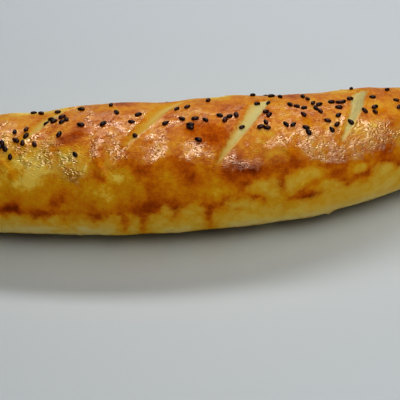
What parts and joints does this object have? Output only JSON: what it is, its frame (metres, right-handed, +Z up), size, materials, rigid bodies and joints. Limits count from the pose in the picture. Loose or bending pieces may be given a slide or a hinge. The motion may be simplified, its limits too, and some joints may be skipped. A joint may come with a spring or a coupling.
{
  "type": "meat pastry roll",
  "caption": "Long baked savoury pastry roll, egg-washed, slashed across its top and strewn with sesame seeds; lies on its flat underside.",
  "frame": {"origin": "under the middle of the roll's bounding box, on the plane that it rests on", "axes": "+X along the roll, +Z up, -Y towards the outside of its bend"},
  "size_m": [0.3124, 0.078, 0.0591],
  "materials": {
    "crust": "baked egg-washed dough, glossy golden brown on top, pale and matt low on the sides, with black sesame seeds"
  },
  "bodies": {
    "root": {"pastry_roll": "crust"}
  },
  "joints": []
}
